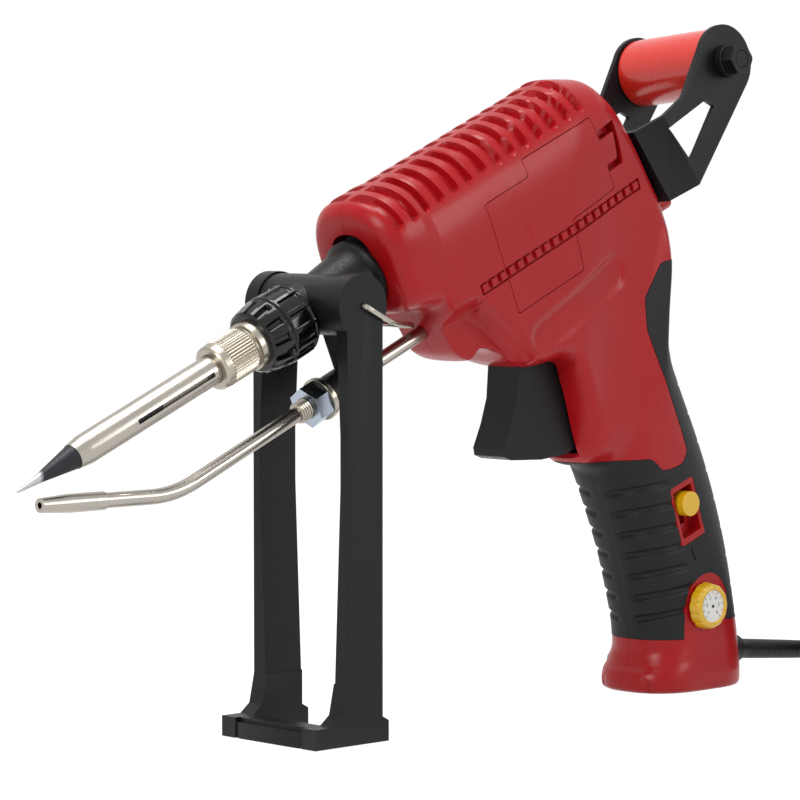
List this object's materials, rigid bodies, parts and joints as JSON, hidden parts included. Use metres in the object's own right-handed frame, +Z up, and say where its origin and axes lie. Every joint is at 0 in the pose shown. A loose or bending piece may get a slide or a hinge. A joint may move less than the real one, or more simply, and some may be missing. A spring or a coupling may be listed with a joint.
{
  "type": "solder-feeding soldering gun",
  "caption": "Pistol-grip electric soldering iron on a folding stand, with a trigger that feeds solder wire through a guide tube to the tip.",
  "frame": {"origin": "on the floor, under the middle of the tool's bounding box, measured without the mains cord", "axes": "+X from the tip towards the grip, +Z up, -Y the side with the feed cover, dial and power switch"},
  "size_m": [0.3618, 0.0882, 0.1924],
  "materials": {
    "red_abs": "moulded ABS, satin",
    "black_rubber": "moulded soft rubber, matt",
    "black_nylon": "moulded glass-filled nylon, matt grain",
    "black_gloss": "moulded phenolic, glossy",
    "steel": "stainless, drawn",
    "nickel": "nickel plated, turned",
    "zinc": "zinc plated, bluish",
    "tip_iron": "iron plated and oxidised, tinned point",
    "ceramic": "alumina ceramic",
    "brass": "turned",
    "yellow": "moulded ABS, glossy",
    "red_orange": "moulded acetal, glossy",
    "black_paint": "powder coated steel sheet",
    "white_liner": "PTFE",
    "green_board": "solder resist on glass epoxy",
    "dark_plastic": "moulded",
    "cord_black": "PVC sheath, satin"
  },
  "bodies": {
    "gun": {"left_shell": "red_abs", "right_shell": "red_abs", "solder_inlet": "red_abs", "left_grip_rubber": "black_rubber", "right_grip_rubber": "black_rubber", "housing_screws": "zinc", "frame_screws": "zinc", "guide_nut": "zinc", "axle_nut": "zinc", "bracket_screw": "zinc", "front_boss": "black_nylon", "collar": "black_gloss", "knurled_nut": "nickel", "heater_sleeve": "steel", "soldering_tip": "tip_iron", "heater_core": "ceramic", "guide_tube": "steel", "guide_nozzle": "nickel", "guide_bush": "nickel", "lock_washer": "nickel", "stand_wire": "steel", "trigger_pin": "steel", "trigger_spring": "steel", "feed_frame": "steel", "pinch_spring": "steel", "solder_liner": "white_liner", "circuit_board": "green_board", "dial_pot": "dark_plastic", "power_switch": "yellow", "spool_bracket": "black_paint", "axle_bolt": "nickel", "axle_spacers": "nickel", "strain_relief": "cord_black", "cord_clamp": "dark_plastic", "inner_leads": "cord_black", "cord_run": "cord_black", "cord_coil": "cord_black", "cord_tail": "cord_black", "cord_tie": "cord_black", "plug_body": "cord_black", "plug_pins": "nickel"},
    "cover": {"feed_cover": "red_abs"},
    "stand": {"stand": "black_nylon"},
    "trigger": {"trigger": "black_nylon"},
    "drive": {"drive_axle": "steel", "drive_wheel": "brass"},
    "pinch": {"pinch_arm": "steel"},
    "pinch_roller": {"pinch_wheel": "steel"},
    "dial": {"temperature_dial": "yellow"},
    "button": {"power_button": "yellow"},
    "roller": {"spool_roller": "red_orange"}
  },
  "joints": [
    {"name": "stand_fold", "type": "hinge", "parent": "gun", "child": "stand", "pos_m": [-0.03191, 0, 0.1148], "axis": [0, 1, 0], "range_deg": [-5, 50]},
    {"name": "trigger_pull", "type": "hinge", "parent": "gun", "child": "trigger", "pos_m": [0.04361, 0, 0.10147], "axis": [0, -1, 0], "range_deg": [0, 13], "stiffness_Nm_per_rad": 0.4, "springref_deg": -11.46, "deforming": ["trigger_spring"]},
    {"name": "drive_turn", "type": "hinge", "parent": "gun", "child": "drive", "pos_m": [0.0349, 0, 0.12685], "axis": [0, -1, 0], "range_deg": [-45, 5]},
    {"name": "pinch_swing", "type": "hinge", "parent": "gun", "child": "pinch", "pos_m": [0.05178, 0, 0.11836], "axis": [0, -1, 0], "range_deg": [0, 4], "stiffness_Nm_per_rad": 0.2, "springref_deg": -8.59, "deforming": ["pinch_spring"]},
    {"name": "pinch_turn", "type": "hinge", "parent": "pinch", "child": "pinch_roller", "pos_m": [0.0402, 0, 0.11487], "axis": [0, -1, 0], "range_deg": [-10, 65]},
    {"name": "cover_lift", "type": "slide", "parent": "gun", "child": "cover", "axis": [0, -1, 0], "range_m": [0, 0.015]},
    {"name": "dial_turn", "type": "hinge", "parent": "gun", "child": "dial", "pos_m": [0.1078, 0, 0.02475], "axis": [0, -1, 0], "range_deg": [0, 270]},
    {"name": "power_slide", "type": "slide", "parent": "gun", "child": "button", "axis": [0.342, 0, -0.9397], "range_m": [0, 0.005]},
    {"name": "roller_spin", "type": "hinge", "parent": "gun", "child": "roller", "pos_m": [0.11214, 0, 0.18039], "axis": [-0.0525, -0.9956, 0.0781], "continuous": true}
  ],
  "couplings": [
    {"joint": "drive_turn", "follows": "trigger_pull", "ratio": -3.1667},
    {"joint": "pinch_turn", "follows": "trigger_pull", "ratio": 4.5884}
  ]
}
